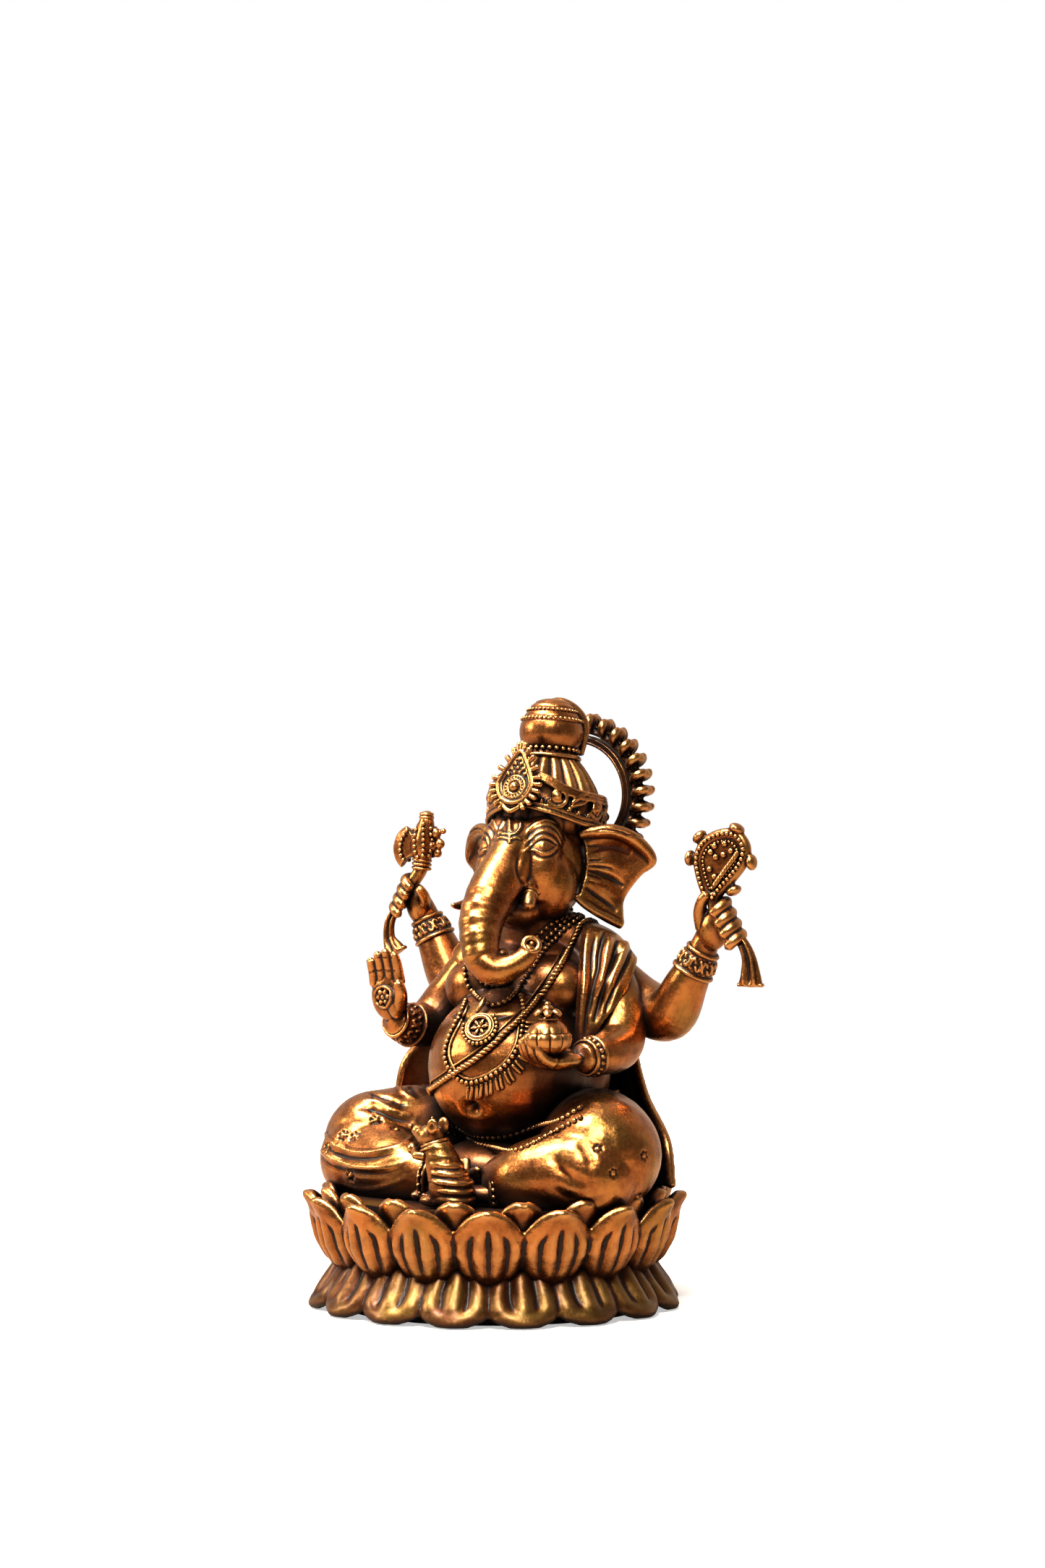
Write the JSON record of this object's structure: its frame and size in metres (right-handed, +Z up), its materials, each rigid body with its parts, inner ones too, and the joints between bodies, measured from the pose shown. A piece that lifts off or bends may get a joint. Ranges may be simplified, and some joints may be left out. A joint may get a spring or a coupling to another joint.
{
  "type": "deity figurine",
  "caption": "Seated elephant-headed deity figurine in antique brass on a round lotus throne, with crown, halo ring, axe, noose, bowl of sweets and a small mouse.",
  "frame": {"origin": "centre of the felt pad's underside, on the table", "axes": "+Z up; the face looks along -Y; the figure's own left hand is towards +X"},
  "size_m": [0.0782, 0.0642, 0.1],
  "materials": {
    "antique_brass": "cast, dark patina in the hollows, rubbed bright on the high places",
    "pin_steel": "plain drawn pins and a screw, all hidden inside the castings",
    "felt": "black felt disc under the throne"
  },
  "bodies": {
    "root": {"axe": "antique_brass", "axe_tail": "antique_brass", "back_shawl": "antique_brass", "base_screw": "pin_steel", "crown_band": "antique_brass", "crown_dome": "antique_brass", "crown_dowel": "pin_steel", "crown_knob": "antique_brass", "crown_plaque": "antique_brass", "dhoti_pleats": "antique_brass", "felt_pad": "felt", "halo_leaves": "antique_brass", "halo_rim": "antique_brass", "halo_stem": "antique_brass", "head": "antique_brass", "hips": "antique_brass", "inner_petals": "antique_brass", "left_anklet": "antique_brass", "left_ear": "antique_brass", "left_foot": "antique_brass", "left_front_arm": "antique_brass", "left_front_arm_dowel": "pin_steel", "left_front_bracelet": "antique_brass", "left_leg": "antique_brass", "left_rear_arm": "antique_brass", "left_rear_arm_dowel": "pin_steel", "left_rear_bracelet": "antique_brass", "left_tusk": "antique_brass", "long_necklace": "antique_brass", "lotus_core": "antique_brass", "lower_petals": "antique_brass", "mouse": "antique_brass", "mouse_cloth": "antique_brass", "neck_dowel": "pin_steel", "noose": "antique_brass", "noose_tail": "antique_brass", "pendant": "antique_brass", "right_anklet": "antique_brass", "right_ear": "antique_brass", "right_foot": "antique_brass", "right_front_arm": "antique_brass", "right_front_arm_dowel": "pin_steel", "right_front_bracelet": "antique_brass", "right_leg": "antique_brass", "right_rear_arm": "antique_brass", "right_rear_arm_dowel": "pin_steel", "right_rear_bracelet": "antique_brass", "right_tusk": "antique_brass", "sacred_thread": "antique_brass", "seat_disc": "antique_brass", "short_necklace": "antique_brass", "shoulder_stole": "antique_brass", "sweets": "antique_brass", "sweets_bowl": "antique_brass", "torso": "antique_brass", "upper_petals": "antique_brass", "waist_belt": "antique_brass"}
  },
  "joints": []
}
